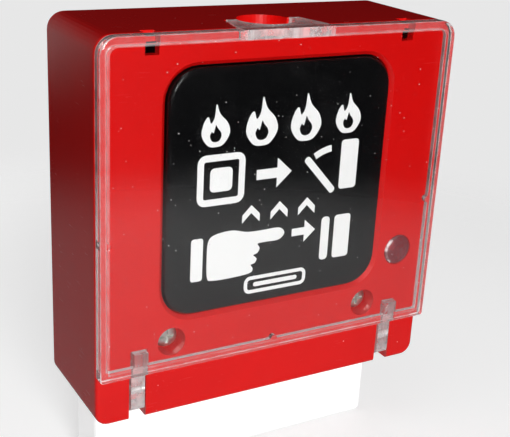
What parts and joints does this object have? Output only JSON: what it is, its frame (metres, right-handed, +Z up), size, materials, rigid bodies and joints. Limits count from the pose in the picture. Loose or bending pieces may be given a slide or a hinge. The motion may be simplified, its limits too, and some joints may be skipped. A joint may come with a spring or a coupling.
{
  "type": "manual call point",
  "caption": "Square wall-mounted manual call point with a clear hinged lid, large push plate, indicator lens, cover screws and a reset slider.",
  "frame": {"origin": "centre of the base's flat wall face", "axes": "+X right as seen from the front, +Y into the wall, +Z up"},
  "size_m": [0.09, 0.0326, 0.0901],
  "materials": {
    "red_plastic": "smooth red moulded plastic",
    "black_plastic": "smooth black moulded plastic",
    "clear_plastic": "clear polished plastic",
    "steel": "bright drawn steel",
    "zinc": "bright zinc plating",
    "board": "green solder mask",
    "terminal": "green moulded plastic",
    "white_plastic": "natural moulded plastic",
    "resistor": "lacquered"
  },
  "bodies": {
    "case": {"base": "red_plastic", "board_screw_1": "zinc", "board_screw_2": "zinc", "board_screw_3": "zinc", "capacitor": "black_plastic", "circuit_board": "board", "control_chip": "black_plastic", "cover_screw_left": "zinc", "cover_screw_right": "zinc", "diode": "black_plastic", "hinge_pin_left": "steel", "hinge_pin_right": "steel", "housing": "red_plastic", "indicator_lens": "clear_plastic", "latch_guide": "black_plastic", "latch_spring": "steel", "led": "clear_plastic", "led_spacer": "black_plastic", "resistor_1": "resistor", "resistor_2": "resistor", "resistor_3": "resistor", "return_spring_1": "steel", "return_spring_2": "steel", "return_spring_3": "steel", "return_spring_4": "steel", "switch_body": "black_plastic", "terminal_block_left": "terminal", "terminal_block_right": "terminal", "terminal_screw_left_1": "zinc", "terminal_screw_left_2": "zinc", "terminal_screw_left_3": "zinc", "terminal_screw_right_1": "zinc", "terminal_screw_right_2": "zinc", "terminal_screw_right_3": "zinc"},
    "lid": {"lid": "clear_plastic"},
    "button": {"button_plate": "black_plastic"},
    "plunger": {"switch_plunger": "white_plastic"},
    "latch": {"latch_slider": "white_plastic"}
  },
  "joints": [
    {"name": "lid_hinge", "type": "hinge", "parent": "case", "child": "lid", "pos_m": [0, -0.0253, -0.0387], "axis": [1, 0, 0], "range_deg": [0, 105]},
    {"name": "button_press", "type": "slide", "parent": "case", "child": "button", "axis": [0, 1, 0], "range_m": [0, 0.003], "stiffness_N_per_m": 1200, "springref_m": -0.002, "deforming": ["return_spring_1", "return_spring_2", "return_spring_3", "return_spring_4"]},
    {"name": "switch_travel", "type": "slide", "parent": "case", "child": "plunger", "axis": [0, 1, 0], "range_m": [0, 0.003]},
    {"name": "latch_drop", "type": "slide", "parent": "case", "child": "latch", "axis": [0, 0, -1], "range_m": [0, 0.0012], "deforming": ["latch_spring"]}
  ],
  "couplings": [
    {"joint": "switch_travel", "follows": "button_press", "ratio": 1},
    {"joint": "latch_drop", "follows": "button_press", "ratio": 0.4}
  ]
}
